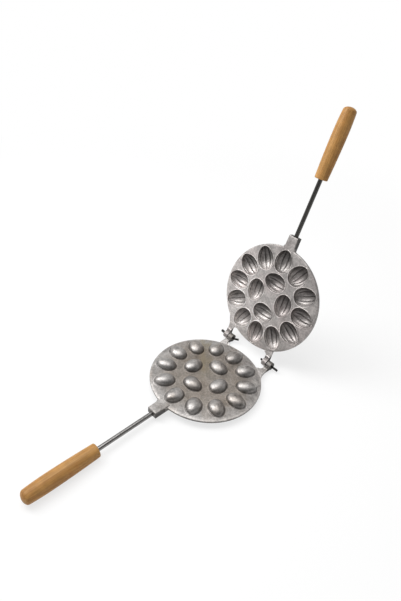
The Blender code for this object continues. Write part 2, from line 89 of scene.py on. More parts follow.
# Handle boss
BOSS_END = PLATE_RADIUS + 23.5 * MM
BOSS_ROOT_WIDTH = 22.4 * MM
BOSS_END_WIDTH = 19.4 * MM
BOSS_ROOT_DEPTH = 12.5 * MM
BOSS_END_DEPTH = 15.5 * MM
BOSS_BOTTOM_ROUND = 4.5 * MM
BOSS_TOP_ROUND = 2.0 * MM
BOSS_FILLET = 5.0 * MM
TIP_RUN = 3.0 * MM

# Rod and grip
ROD_RADIUS = 3.9 * MM
ROD_DEPTH_AT_BOSS = 8.6 * MM
ROD_SPLAY = math.radians(1.8)
ROD_SEAT = 18.0 * MM
ROD_FREE_LENGTH = 107.5 * MM
ROD_IN_GRIP = 95.0 * MM
ROD_CHAMFER = 0.6 * MM
GRIP_LENGTH = 123.5 * MM
GRIP_RADIUS = 13.0 * MM
GRIP_FRONT_RADIUS = 11.5 * MM
GRIP_REAR_RADIUS = 11.6 * MM
GRIP_BELLY = 78.0 * MM
GRIP_DOME = 7.0 * MM
GRIP_EDGE = 1.4 * MM
FIT = 0.3 * MM

# Hinge
LUG_JOIN = 0.492 * PLATE_RADIUS
LUG_WIDTH = 9.7 * MM
LUG_GAP = 1.0 * MM
LUG_ROUND = 0.7 * MM
KNUCKLE_RADIUS = 7.4 * MM
NECK_LENGTH = 5.0 * MM
NECK_RISE = 1.6 * MM
FILLET_TOE = 0.4 * MM
FILLET_SHARE = 1.0
BACK_SHARE = 0.25
FLARE_SHARE = 0.85
WEB_FILLET = 9.0 * MM
WEB_HIDDEN_FILLET = 1.2 * MM
PIN_RADIUS = 1.9 * MM
PIN_CLEARANCE = 0.45 * MM
PIN_SPLIT = 0.3 * MM
PIN_TAIL = 12.5 * MM
LEFT_PIN_EYE = 11.0 * MM
RIGHT_PIN_EYE = 6.5 * MM
PIN_EYE_RADIUS = 1.2 * MM
PIN_HEAD_GAP = 0.35 * MM
PIN_BEND_RADIUS = 6.0 * MM
LEFT_PIN_ROLL = math.radians(-20)
LEFT_PIN_BENDS = (0.42, -0.38)
RIGHT_PIN_ROLL = math.radians(35)
RIGHT_PIN_BENDS = (0.16, 0.16)

# The photograph's camera, in the lower casting's place
IMAGE_WIDTH = 401
IMAGE_HEIGHT = 601
CAMERA_TURN = Vector((1.974, 0.9221, -0.3907))
CAMERA_OFFSET = Vector((31.8086, 192.9701, 890.9781)) * MM
CAMERA_FOCUS = 498.09
CAMERA_CENTRE = (187.89, 268.22)

# Finishes: linear colours
LOWER_METAL = (0.38, 0.363, 0.35, 1.0)
UPPER_METAL = (0.42, 0.396, 0.383, 1.0)
BROWN_STAIN = (0.29, 0.255, 0.225, 1.0)
ROSY_STAIN = (0.42, 0.37, 0.36, 1.0)
OLIVE_STAIN = (0.30, 0.26, 0.17, 1.0)
BROWN_FILM = (0.79, 0.745, 0.69, 1.0)
PALE_WOOD = (0.46, 0.243, 0.074, 1.0)
TAN_WOOD = (0.36, 0.172, 0.045, 1.0)
ORANGE_WOOD = (0.40, 0.142, 0.03, 1.0)
# The two rods are lit and shaded copies of one steel: the lower rod's lighter colour is painted light, the upper rod's
# darker colour painted shade.
LIT_LOWER_ROD_STEEL = (0.23, 0.223, 0.218, 1.0)
SHADED_UPPER_ROD_STEEL = (0.07, 0.068, 0.064, 1.0)
RUST_BROWN = (0.075, 0.06, 0.05, 1.0)
PIN_BLACK = (0.012, 0.011, 0.01, 1.0)
PIN_WORN = (0.05, 0.045, 0.04, 1.0)

# Studio
FLOOR_SIZE = 30.0
FLOOR_LIFT = (0.72, 1.0)
FLOOR_LIFT_REACH = (0.35, 1.3)
LAMP_SPOT = (-0.3, 0.1, 1.6)
LAMP_SIZE = 1.0
LAMP_POWER = 9.0
FILL_SPOT = (-1.0, -0.6, 1.3)
FILL_SIZE = 1.0
FILL_POWER = 18.0
ROOM_COLOUR = (1.0, 1.0, 1.0)
ROOM_LEVEL = 0.7
DARK_SIDE = (0.88, -0.47, 0.0)
DARK_BAND = (0.30, 0.85, 0.12)
DARK_EDGE = (0.0, 0.6)
DARK_DEPTH = 0.88


# Places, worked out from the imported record


def casting_places():
    """Where the lower and the upper casting stand at rest, and the way from the face to the axis."""
    record = frame["record"]
    joint = frame["joints"][0]
    mount = record["mounts"][0]
    normal = -Vector(mount["axis"]).normalized()
    side = Vector((1, 0, 0))
    away = normal.cross(side).normalized()
    lower = Matrix((side, away, normal)).transposed().to_4x4()
    lower.translation = Vector(mount["pos_m"]) + normal * PLATE_THICKNESS
    hinge = lower.inverted() @ Vector(joint["pos_m"])
    opened = Matrix.Rotation(-math.radians(joint["range_deg"][1]), 4, "X")
    over = Matrix.Translation((0, -hinge.y, hinge.z)) @ Matrix.Rotation(math.pi, 4, "Y")
    upper = lower @ Matrix.Translation(hinge) @ opened @ over
    return lower, upper, hinge


LOWER_PLACE, UPPER_PLACE, HINGE = casting_places()
HINGE_REACH = HINGE.y
AXIS_HEIGHT = HINGE.z
FACE_GAP = 2 * AXIS_HEIGHT
NECK_START = HINGE_REACH - KNUCKLE_RADIUS - NECK_LENGTH
ARM_END = NECK_START - NECK_RISE
BUMP_LENGTH = CAVITY_LENGTH - 2 * DOUGH_END
BUMP_WIDTH = CAVITY_WIDTH - 2 * DOUGH_SIDE
BUMP_HEIGHT = CAVITY_DEPTH - DOUGH_BOTTOM - FACE_GAP
ROD_ORIGIN = Vector((0, -BOSS_END, -ROD_DEPTH_AT_BOSS))
ROD_WAY = Vector((0, -math.cos(ROD_SPLAY), -math.sin(ROD_SPLAY)))


# Mesh helpers


def make_object(bm, name):
    bmesh.ops.recalc_face_normals(bm, faces=bm.faces)
    mesh = bpy.data.meshes.new(name)
    bm.to_mesh(mesh)
    bm.free()
    obj = bpy.data.objects.new(name, mesh)
    bpy.context.scene.collection.objects.link(obj)
    return obj


def combine(target, bm, operation):
    """Join the solid in bm to the target, or cut it out of it."""
    tool = make_object(bm, "tool")
    modifier = target.modifiers.new(operation.lower(), "BOOLEAN")
    modifier.operation = operation
    modifier.solver = "EXACT"
    modifier.object = tool
    graph = bpy.context.evaluated_depsgraph_get()
    target.data = bpy.data.meshes.new_from_object(target.evaluated_get(graph))
    target.modifiers.clear()
    bpy.data.objects.remove(tool, do_unlink=True)


def settle(obj, place, sharp):
    """Put a finished piece's place in its mesh, and shade it smooth between its sharp edges."""
    obj.data.transform(place)
    obj.data.shade_smooth()
    obj.data.set_sharp_from_angle(angle=math.radians(sharp))
    modifier = obj.modifiers.new("even_shading", "WEIGHTED_NORMAL")
    modifier.keep_sharp = True
    graph = bpy.context.evaluated_depsgraph_get()
    obj.data = bpy.data.meshes.new_from_object(obj.evaluated_get(graph))
    obj.modifiers.clear()
    obj.data.materials.clear()


def slab(bm, outline, way):
    """A flat outline pulled straight into a solid."""
    face = bm.faces.new([bm.verts.new(point) for point in outline])
    pulled = bmesh.ops.extrude_face_region(bm, geom=[face], use_keep_orig=True)
    verts = [part for part in pulled["geom"] if isinstance(part, bmesh.types.BMVert)]
    bmesh.ops.translate(bm, verts=verts, vec=way)
    return verts + list(face.verts)


def spun(profile, steps):
    """A solid turned about Z from (radius, height) points, with flat ends."""
    bm = bmesh.new()
    verts = [bm.verts.new((radius, 0, z)) for radius, z in profile]
    edges = [bm.edges.new(pair) for pair in zip(verts, verts[1:])]
    bmesh.ops.spin(bm, geom=verts + edges, cent=(0, 0, 0), axis=(0, 0, 1), angle=math.tau, steps=steps,
                   use_merge=True)
    bmesh.ops.holes_fill(bm, edges=bm.edges, sides=steps)
    return bm


def arc(centre, radius, start, end, steps):
    """Points on an arc in a plane, with angles in radians."""
    angles = [start + (end - start) * i / steps for i in range(steps + 1)]
    return [(centre[0] + radius * math.cos(a), centre[1] + radius * math.sin(a)) for a in angles]


# Nuts


def nut_places(height):
    """Each nut's place, with its long side along X."""
    places = []
    for i in range(OUTER_COUNT):
        turn = math.tau * i / OUTER_COUNT - math.pi / 2
        spot = Vector((math.cos(turn) * OUTER_RING, math.sin(turn) * OUTER_RING, height))
        places.append(Matrix.Translation(spot) @ Matrix.Rotation(turn, 4, "Z"))
    for i in range(INNER_COUNT):
        turn = math.tau * i / INNER_COUNT
        spot = Vector((math.cos(turn) * INNER_RING, math.sin(turn) * INNER_RING, height))
        side = 1 if math.cos(turn) > -0.5 else -1
        places.append(Matrix.Translation(spot) @ Matrix.Rotation(turn + side * math.pi / 2, 4, "Z"))
    return places


def nut_width_at(t, half_width):
    """Half width at the station t, from 0 at the pointed end to pi at the blunt one."""
    point = 1 - NUT_POINT * max(0.0, math.cos(t)) ** 4
    return half_width * math.sin(t) * (1 - NUT_TAPER * math.cos(t)) * point


def outward(point, length, width):
    """The level way out of a nut's outline at a point."""
    way = Vector((point.x / length ** 2, point.y / width ** 2, 0))
    return way.normalized()


def half_nut(size, around, along, rib=0.0):
    """The skin of half a nut, with its mouth open at Z = 0; its depth is negative below the mouth."""
    length, width, depth = size
    bm = bmesh.new()
    bmesh.ops.create_uvsphere(bm, u_segments=around, v_segments=along, radius=1.0,
                              matrix=Matrix.Rotation(math.pi / 2, 4, "Y"))
    bmesh.ops.bisect_plane(bm, geom=bm.verts[:] + bm.edges[:] + bm.faces[:], dist=1e-5,
                           plane_co=(0, 0, 0), plane_no=(0, 0, 1), clear_inner=True)
    for vert in bm.verts:
        t = math.acos(max(-1.0, min(1.0, vert.co.x)))
        v = math.atan2(max(0.0, vert.co.z), vert.co.y)
        crest = (1 - abs(math.cos(CAVITY_RIBS * v))) ** RIB_SHARPNESS
        crest *= math.sqrt(abs(math.sin(v))) * math.sin(t)
        shrink = 1 - 2 * rib / width * crest
        vert.co.x = length / 2 * math.cos(t)
        vert.co.y = nut_width_at(t, width / 2) * math.cos(v) * shrink
        vert.co.z = depth * math.sin(t) ** NUT_FULLNESS * math.sin(v) * shrink
    return bm


def widen_foot(bm, size, foot):
    """A fillet where the nut meets the plate."""
    length, width, depth = size
    side = math.copysign(1, depth)
    for share in (0.06, 0.2, 0.4, 0.65):
        bmesh.ops.bisect_plane(bm, geom=bm.verts[:] + bm.edges[:] + bm.faces[:], dist=1e-6,
                               plane_co=(0, 0, side * foot * share), plane_no=(0, 0, 1))
    for vert in bm.verts:
        rise = max(0.0, side * vert.co.z)
        if rise < foot:
            push = foot - math.sqrt(foot ** 2 - (foot - rise) ** 2)
            vert.co += outward(vert.co, length, width) * push


def raise_skirt(bm, size, stages):
    """Carry the mouth on through (push outward, height) stages, and close it."""
    length, width, _ = size
    edges = [edge for edge in bm.edges if edge.is_boundary]
    pushed, height = 0.0, 0.0
    for push, z in stages:
        pulled = bmesh.ops.extrude_edge_only(bm, edges=edges)
        edges = [part for part in pulled["geom"] if isinstance(part, bmesh.types.BMEdge)]
        verts = [part for part in pulled["geom"] if isinstance(part, bmesh.types.BMVert)]
        for vert in verts:
            vert.co += outward(vert.co, length, width) * (push - pushed)
            vert.co.z += z - height
        pushed, height = push, z
    bmesh.ops.holes_fill(bm, edges=edges, sides=0)


def repeat(bm, places):
    """The same solid at each place."""
    mesh = bpy.data.meshes.new("pattern")
    bm.to_mesh(mesh)
    bm.free()
    many = bmesh.new()
    for place in places:
        known = len(many.verts)
        many.from_mesh(mesh)
        many.verts.ensure_lookup_table()
        bmesh.ops.transform(many, matrix=place, verts=many.verts[known:])
    bpy.data.meshes.remove(mesh)
    return many


def lip_pattern():
    """The raised rim round a cavity's mouth, as a solid block that the cavity is cut through."""
    length = CAVITY_LENGTH + 2 * LIP_WIDTH
    width = CAVITY_WIDTH + 2 * LIP_WIDTH
    bm = bmesh.new()
    ring = bmesh.ops.create_circle(bm, cap_ends=True, segments=64, radius=1.0)["verts"]
    for vert in ring:
        t = math.acos(max(-1.0, min(1.0, vert.co.x)))
        side = math.copysign(1, vert.co.y)
        vert.co = Vector((length / 2 * math.cos(t), side * nut_width_at(t, width / 2), 0))
    pulled = bmesh.ops.extrude_face_region(bm, geom=bm.faces[:], use_keep_orig=True)
    verts = [part for part in pulled["geom"] if isinstance(part, bmesh.types.BMVert)]
    bmesh.ops.translate(bm, verts=verts, vec=(0, 0, PLATE_THICKNESS / 2 + LIP_HEIGHT))
    top = [edge for edge in bm.edges if all(vert.co.z > PLATE_THICKNESS / 2 for vert in edge.verts)]
    bmesh.ops.bevel(bm, geom=top, offset=LIP_ROUND, segments=3, profile=0.5, affect="EDGES", material=-1)
    return bm


# Castings


def disc(slope):
    """The round plate, with its sloped rim and rounded edge."""
    width, drop = slope
    bottom = -PLATE_THICKNESS
    inner = PLATE_RADIUS - RIM_ROUND
    profile = [(inner - width, 0)]
    profile += arc((inner, -drop - RIM_ROUND), RIM_ROUND, math.pi / 2, 0, 5)
    profile += arc((inner, bottom + RIM_ROUND), RIM_ROUND, 0, -math.pi / 2, 5)
    return spun(profile, PLATE_STEPS)


def flat_edge(slope):
    """Radius just outside the flat of the face, where the boss and the lugs begin."""
    return PLATE_RADIUS - RIM_ROUND - slope[0] + SINK


def widest_fillet(x, away):
    """The largest fillet between an arm's side and the rim that still ends before the arm does."""
    reach = ARM_END - FILLET_TOE
    return (reach ** 2 - PLATE_RADIUS ** 2 + x ** 2) / (2 * (PLATE_RADIUS - away * x))


def root_outline(sides, slope):
    """The outline of an arm's root, with a fillet on each side; sides gives x and fillet radius."""
    curves = []
    for (x, fillet), away in zip(sides, (-1, 1)):
        centre_x = x + away * fillet
        centre_y = math.sqrt((PLATE_RADIUS + fillet) ** 2 - centre_x ** 2)
        lean = math.atan2(centre_x, centre_y)
        start = math.pi / 2 * (1 + away)
        stop = start + away * (math.pi / 2) - lean
        curves.append(arc((centre_x, centre_y), fillet, start, stop, 14))
    ends = [math.atan2(curve[-1][1], curve[-1][0]) for curve in curves]
    base = arc((0, 0), flat_edge(slope), ends[0], ends[1], 12)
    return curves[0] + base + list(reversed(curves[1]))


def sink_tips(verts, slope):
    """Let the thin tips of a root's fillets run out into the sloped rim."""
    for vert in verts:
        rise = vert.co.xy.length - PLATE_RADIUS
        if vert.co.z > -PLATE_THICKNESS / 2 and rise > -RIM_ROUND:
            share = max(0.0, 1 - max(0.0, rise) / TIP_RUN)
            vert.co.z -= (slope[1] + RIM_ROUND) * share ** 2


def round_edges(bm, radius, segments, keep):
    """Round the sharp edges whose middles keep accepts."""
    sharp = []
    for edge in bm.edges:
        middle = (edge.verts[0].co + edge.verts[1].co) / 2
        if len(edge.link_faces) == 2 and edge.calc_face_angle() > math.radians(35) and keep(middle):
            sharp.append(edge)
    bmesh.ops.bevel(bm, geom=sharp, offset=radius, segments=segments, profile=0.5, affect="EDGES",
                    material=-1, clamp_overlap=True)


def boss(slope):
    """The handle boss: it narrows and deepens towards the rod."""
    root = -flat_edge(slope)
    half = BOSS_ROOT_WIDTH / 2
    bm = bmesh.new()
    outline = [(-half, root, 0), (half, root, 0), (half, root, -BOSS_ROOT_DEPTH), (-half, root, -BOSS_ROOT_DEPTH)]
    slab(bm, outline, (0, -BOSS_END - root, 0))
    for vert in bm.verts:
        if vert.co.y < root - SINK:
            vert.co.x = math.copysign(BOSS_END_WIDTH / 2, vert.co.x)
            vert.co.z = min(0.0, vert.co.z) and -BOSS_END_DEPTH
    touch = 0.01 * MM
    low = [edge for edge in bm.edges if all(vert.co.z < -touch for vert in edge.verts)]
    low = [edge for edge in low if min(vert.co.y for vert in edge.verts) < root - touch]
    bmesh.ops.bevel(bm, geom=low, offset=BOSS_BOTTOM_ROUND, segments=8, profile=0.5, affect="EDGES",
                    material=-1)
    top = [edge for edge in bm.edges if all(vert.co.z > -touch for vert in edge.verts)]
    top = [edge for edge in top if min(vert.co.y for vert in edge.verts) < root - touch]
    bmesh.ops.bevel(bm, geom=top, offset=BOSS_TOP_ROUND, segments=4, profile=0.5, affect="EDGES",
                    material=-1)
    return bm


def boss_root(slope):
    """The fillets where the boss leaves the rim."""
    half = BOSS_ROOT_WIDTH / 2
    outline = root_outline(((-half, BOSS_FILLET), (half, BOSS_FILLET)), slope)
    bm = bmesh.new()
    sink_tips(slab(bm, [(x, -y, SINK - PLATE_THICKNESS) for x, y in outline], (0, 0, PLATE_THICKNESS - 2 * SINK)), slope)
    return bm


def lug_spans():
    """The X range of the inner lug and of the outer lug."""
    inner_edge = LUG_JOIN - LUG_GAP / 2
    outer_edge = LUG_JOIN + LUG_GAP / 2
    return (-inner_edge, -inner_edge + LUG_WIDTH), (outer_edge, outer_edge + LUG_WIDTH)


def lug(sides, slope):
    """One hinge lug: an arm that leaves the rim and ends in a round knuckle."""
    bottom = SINK - PLATE_THICKNESS
    (low_x, _), (high_x, _) = sides
    fillets = [(x, share * widest_fillet(x, away)) for (x, share), away in zip(sides, (-1, 1))]
    bm = bmesh.new()
    outline = [(low_x, ARM_END)] + root_outline(fillets, slope) + [(high_x, ARM_END)]
    sink_tips(slab(bm, [(x, y, bottom) for x, y in outline], (0, 0, -bottom)), slope)
    front = math.asin((NECK_RISE - AXIS_HEIGHT) / KNUCKLE_RADIUS)
    back = math.asin((AXIS_HEIGHT - bottom) / KNUCKLE_RADIUS)
    knuckle = arc((HINGE_REACH, AXIS_HEIGHT), KNUCKLE_RADIUS, math.pi - front, back - math.pi, 56)
    side = [(ARM_END, bottom), (ARM_END, 0), (NECK_START, NECK_RISE)] + knuckle
    slab(bm, [(low_x, y, z) for y, z in side], (high_x - low_x, 0, 0))
    touch = 0.001 * MM
    joint = [face for face in bm.faces if all(abs(vert.co.y - ARM_END) < touch for vert in face.verts)]
    bmesh.ops.delete(bm, geom=joint, context="FACES_ONLY")
    bmesh.ops.remove_doubles(bm, verts=bm.verts, dist=touch)
    bmesh.ops.recalc_face_normals(bm, faces=bm.faces)
    rim = flat_edge(slope) + 2 * LUG_ROUND
    round_edges(bm, LUG_ROUND, 3, lambda middle: middle.xy.length > rim)
    return bm


def lug_web(span, slope):
    """The web that fills the corner between the inner lug and the rim, on its middle side."""
    low_x, high_x = span
    outline = root_outline((((low_x + high_x) / 2, WEB_HIDDEN_FILLET), (high_x - SINK, WEB_FILLET)), slope)
    bm = bmesh.new()
    bottom = 2 * SINK - PLATE_THICKNESS
    sink_tips(slab(bm, [(x, y, bottom) for x, y in outline], (0, 0, -bottom - SINK)), slope)
    return bm


def bar(bm, radius, start, end):
    """A round bar from start to end."""
    way = end - start
    turn = Vector((0, 0, 1)).rotation_difference(way).to_matrix().to_4x4()
    bmesh.ops.create_cone(bm, cap_ends=True, segments=48, radius1=radius, radius2=radius,
                          depth=way.length, matrix=Matrix.Translation((start + end) / 2) @ turn)


def bores():
    """The rod's seat and the pin holes."""
    bm = bmesh.new()
    bar(bm, ROD_RADIUS + FIT, ROD_ORIGIN + ROD_WAY * ROD_RADIUS, ROD_ORIGIN - ROD_WAY * (ROD_SEAT + FIT))
    for low_x, high_x in lug_spans():
        bar(bm, PIN_RADIUS + PIN_CLEARANCE, Vector((low_x - PIN_RADIUS, HINGE_REACH, AXIS_HEIGHT)),
            Vector((high_x + PIN_RADIUS, HINGE_REACH, AXIS_HEIGHT)))
    return bm


def bare_casting(name, slope):
    """A plate with its boss and lugs."""
    plate = make_object(disc(slope), name)
    inner, outer = lug_spans()
    combine(plate, boss_root(slope), "UNION")
    combine(plate, boss(slope), "UNION")
    combine(plate, lug(((inner[0], BACK_SHARE), (inner[1], FILLET_SHARE)), slope), "UNION")
    combine(plate, lug_web(inner, slope), "UNION")
    combine(plate, lug(((outer[0], FILLET_SHARE), (outer[1], FLARE_SHARE)), slope), "UNION")
    combine(plate, bores(), "DIFFERENCE")
    return plate


def two_lots(places):
    """Every other nut round each ring, so that no two in a lot touch."""
    return places[0::2], places[1::2]


def lower_casting():
    plate = bare_casting("lower_casting", LOWER_SLOPE)
    foot_sink = BUMP_FOOT * 0.06
    size = (BUMP_LENGTH, BUMP_WIDTH, BUMP_HEIGHT + foot_sink)
    bump = half_nut(size, 96, 36)
    widen_foot(bump, size, BUMP_FOOT)
    raise_skirt(bump, size, [(BUMP_FOOT, -SINK)])
    combine(plate, repeat(bump, nut_places(-foot_sink)), "UNION")
    height = PLATE_THICKNESS + SINK + BUMP_HEIGHT - BUMP_WALL
    size = (BUMP_LENGTH - 2 * BUMP_WALL, BUMP_WIDTH - 2 * BUMP_WALL, height)
    hollow = half_nut(size, 48, 20)
    raise_skirt(hollow, size, [(0.0, -SINK)])
    combine(plate, repeat(hollow, nut_places(-PLATE_THICKNESS - SINK)), "DIFFERENCE")
    return plate


def upper_casting():
    plate = bare_casting("upper_casting", UPPER_SLOPE)
    length = CAVITY_LENGTH + 2 * SHELL_WALL
    width = CAVITY_WIDTH + 2 * SHELL_WALL
    size = (length, width, PLATE_THICKNESS / 2 - CAVITY_DEPTH - SHELL_WALL)
    for places, around in zip(two_lots(nut_places(-PLATE_THICKNESS / 2)), (48, 56)):
        shell = half_nut(size, around, 24)
        raise_skirt(shell, size, [(0.0, SINK)])
        combine(plate, repeat(shell, places), "UNION")
        combine(plate, repeat(lip_pattern(), places), "UNION")
    size = (CAVITY_LENGTH, CAVITY_WIDTH, -CAVITY_DEPTH)
    cavity = half_nut(size, 120, 30, RIB_HEIGHT)
    top = LIP_HEIGHT - LIP_ROUND
    stages = [(0.0, top), (0.2 * LIP_ROUND, top + 0.6 * LIP_ROUND), (1.6 * LIP_ROUND, LIP_HEIGHT + FIT)]
    raise_skirt(cavity, size, stages)
    combine(plate, repeat(cavity, nut_places(0)), "DIFFERENCE")
    return plate


# Handles


def rod(name):
    """The steel rod along Z: its seat in the boss is below 0, the grip is above."""
    length = ROD_FREE_LENGTH + ROD_IN_GRIP
    inner = ROD_RADIUS - ROD_CHAMFER
    profile = [(inner, -ROD_SEAT), (ROD_RADIUS, -ROD_SEAT + ROD_CHAMFER),
               (ROD_RADIUS, length - ROD_CHAMFER), (inner, length)]
    return make_object(spun(profile, 48), name)


def grip_radius(s):
    """Radius of the grip at the distance s from its front face, without the end rounds."""
    if s < GRIP_BELLY:
        share = 1 - s / GRIP_BELLY
        return GRIP_RADIUS - (GRIP_RADIUS - GRIP_FRONT_RADIUS) * share ** 2
    share = (s - GRIP_BELLY) / (GRIP_LENGTH - GRIP_DOME - GRIP_BELLY)
    return GRIP_RADIUS - (GRIP_RADIUS - GRIP_REAR_RADIUS) * share ** 2


def grip(name):
    """The turned wooden grip along Z, with a blind bore for the rod."""
    bore = ROD_RADIUS + FIT
    profile = [(bore, ROD_IN_GRIP + FIT), (bore, 0)]
    front = GRIP_FRONT_RADIUS - GRIP_EDGE
    profile += [(front + (grip_radius(GRIP_EDGE) - front) * math.sin(a), GRIP_EDGE * (1 - math.cos(a)))
                for a in (math.pi / 2 * i / 6 for i in range(7))]
    rear = GRIP_LENGTH - GRIP_DOME
    profile += [(grip_radius(s), s) for s in (GRIP_EDGE + (rear - GRIP_EDGE) * i / 24 for i in range(1, 25))]
    profile += [(GRIP_REAR_RADIUS * math.cos(a), rear + GRIP_DOME * math.sin(a))
                for a in (math.radians(80) * i / 10 for i in range(1, 11))]
    return make_object(spun(profile, 64), name)


# Hinge pins


def pin_path(length, eye_length, bends):
    """Centre line of the pin's wire: up one leg, round the eye and down the other."""
    half_split = PIN_SPLIT / 2
    legs = []
    for bend in bends:
        leg = [(length * share, half_split) for share in (0.0, 0.5, 1.0)]
        x, w, turned = length, half_split, 0.0
        steps = max(1, round(abs(bend) / math.radians(3)))
        stride = 2 * PIN_BEND_RADIUS * math.sin(abs(bend) / steps / 2)
        for _ in range(steps):
            turned += bend / steps / 2
            x += stride * math.cos(turned)
            w += stride * math.sin(turned)
            turned += bend / steps / 2
            leg.append((x, w))
        straight = PIN_TAIL - stride * steps
        leg.append((x + straight * math.cos(turned), w + straight * math.sin(turned)))
        legs.append(leg)
    centre = -PIN_HEAD_GAP - eye_length + PIN_RADIUS + PIN_EYE_RADIUS
    lean = math.acos(PIN_EYE_RADIUS / -centre)
    eye = arc((centre, 0), PIN_EYE_RADIUS, lean, math.tau - lean, 32)
    return list(reversed(legs[0])) + eye + [(x, -w) for x, w in legs[1]]


def pin_station(spot, along):
    """The place of the wire's section: its flat side looks to the middle of the pin."""
    out = Vector((along.y, 0, -along.x))
    place = Matrix((out, (0, 1, 0), (along.x, 0, along.y))).transposed().to_4x4()
    place.translation = (spot.x, 0, spot.y)
    return place


def split_pin(name, length, eye_length, bends):
    """A split pin of half-round wire, pulled along its path."""
    path = [Vector(point) for point in pin_path(length, eye_length, bends)]
    stations = []
    for i, point in enumerate(path):
        before = point - path[max(0, i - 1)]
        after = path[min(len(path) - 1, i + 1)] - point
        stations.append(pin_station(point, (before.normalized() + after.normalized()).normalized()))
    flat = math.asin(PIN_SPLIT / 2 / PIN_RADIUS)
    bm = bmesh.new()
    ring = []
    for i in range(13):
        a = flat + (math.pi - 2 * flat) * i / 12
        ring.append(bm.verts.new((PIN_RADIUS * math.sin(a) - PIN_SPLIT / 2, PIN_RADIUS * math.cos(a), 0)))
    bmesh.ops.transform(bm, matrix=stations[0], verts=ring)
    face = bm.faces.new(ring)
    for near, far in zip(stations, stations[1:]):
        pulled = bmesh.ops.extrude_face_region(bm, geom=[face], use_keep_orig=near is stations[0])["geom"]
        verts = [part for part in pulled if isinstance(part, bmesh.types.BMVert)]
        bmesh.ops.transform(bm, matrix=far @ near.inverted(), verts=verts)
        face = next(part for part in pulled if isinstance(part, bmesh.types.BMFace))
    return make_object(bm, name)


# Finishes


def feed(tree, value, socket):
    """Give a socket a number or a colour, or link it to another socket."""
    if isinstance(value, bpy.types.NodeSocket):
        tree.links.new(value, socket)
    else:
        socket.default_value = value


def calculate(tree, operation, first, second=0.0, third=0.0):
    node = tree.nodes.new("ShaderNodeMath")
    node.operation = operation
    for socket, value in zip(node.inputs, (first, second, third)):
        feed(tree, value, socket)
    return node.outputs[0]


def step(tree, value, low, high, start=0.0, end=1.0):
    """A soft step from start to end while the value goes from low to high."""
    node = tree.nodes.new("ShaderNodeMapRange")
    node.interpolation_type = "SMOOTHSTEP"
    for name, number in (("Value", value), ("From Min", low), ("From Max", high), ("To Min", start),
                         ("To Max", end)):
        feed(tree, number, node.inputs[name])
    return node.outputs["Result"]


def band(tree, value, low, high, soft):
    """1 between low and high, with soft edges of the given width."""
    return calculate(tree, "MULTIPLY", step(tree, value, low - soft, low), step(tree, value, high, high + soft, 1.0, 0.0))


def noise(tree, vector, scale, detail=2.0, rough=0.5, bend=0.0):
    node = tree.nodes.new("ShaderNodeTexNoise")
    for name, number in (("Vector", vector), ("Scale", scale), ("Detail", detail), ("Roughness", rough),
                         ("Distortion", bend)):
        feed(tree, number, node.inputs[name])
    return node.outputs["Fac"]


def mix(tree, factor, first, second, blend="MIX"):
    """Mix two colours."""
    node = tree.nodes.new("ShaderNodeMix")
    node.data_type = "RGBA"
    node.blend_type = blend
    for index, value in ((0, factor), (6, first), (7, second)):
        feed(tree, value, node.inputs[index])
    return node.outputs[2]


def shade(tree, colour, factor):
    """The colour times a factor."""
    node = tree.nodes.new("ShaderNodeVectorMath")
    node.operation = "SCALE"
    feed(tree, colour, node.inputs[0])
    feed(tree, factor, node.inputs["Scale"])
    return node.outputs[0]


def split(tree, vector):
    node = tree.nodes.new("ShaderNodeSeparateXYZ")
    tree.links.new(vector, node.inputs[0])
    return node.outputs


def stretch(tree, vector, scale):
    node = tree.nodes.new("ShaderNodeVectorMath")
    node.operation = "MULTIPLY"
    tree.links.new(vector, node.inputs[0])
    node.inputs[1].default_value = scale
    return node.outputs[0]


def own_place(tree, place):
    """Object coordinates, measured from the piece's own place."""
    coordinates = tree.nodes.new("ShaderNodeTexCoord")
    mapping = tree.nodes.new("ShaderNodeMapping")
    mapping.vector_type = "TEXTURE"
    mapping.inputs["Location"].default_value = place.to_translation()
    mapping.inputs["Rotation"].default_value = place.to_euler("XYZ")
    tree.links.new(coordinates.outputs["Object"], mapping.inputs["Vector"])
    return mapping.outputs["Vector"]


def effect(name, inputs, outputs):
    """A new shader node group with named sockets."""
    tree = bpy.data.node_groups.new(name, "ShaderNodeTree")
    for label, kind in inputs:
        tree.interface.new_socket(name=label, in_out="INPUT", socket_type="NodeSocket" + kind)
    for label, kind in outputs:
        tree.interface.new_socket(name=label, in_out="OUTPUT", socket_type="NodeSocket" + kind)
    return tree, tree.nodes.new("NodeGroupInput").outputs, tree.nodes.new("NodeGroupOutput").inputs


def place_effect(tree, group, **values):
    """Put a group in a material; underscores in the names of its values stand for spaces."""
    node = tree.nodes.new("ShaderNodeGroup")
    node.node_tree = group
    for name, value in values.items():
        feed(tree, value, node.inputs[name.replace("_", " ")])
    return node.outputs


def finish_material(name, place, metallic, **sockets):
    """A material with its own place's coordinates; sockets are values that hold all over it."""
    material = bpy.data.materials.new(name)
    material.use_nodes = True
    tree = material.node_tree
    shader = tree.nodes["Principled BSDF"]
    shader.inputs["Metallic"].default_value = metallic
    for label, value in sockets.items():
        shader.inputs[label.replace("_", " ")].default_value = value
    return material, tree, shader, own_place(tree, place)


def relief(tree, shader, height, distance):
    bump = tree.nodes.new("ShaderNodeBump")
    bump.inputs["Distance"].default_value = distance
    feed(tree, height, bump.inputs["Height"])
    tree.links.new(bump.outputs["Normal"], shader.inputs["Normal"])


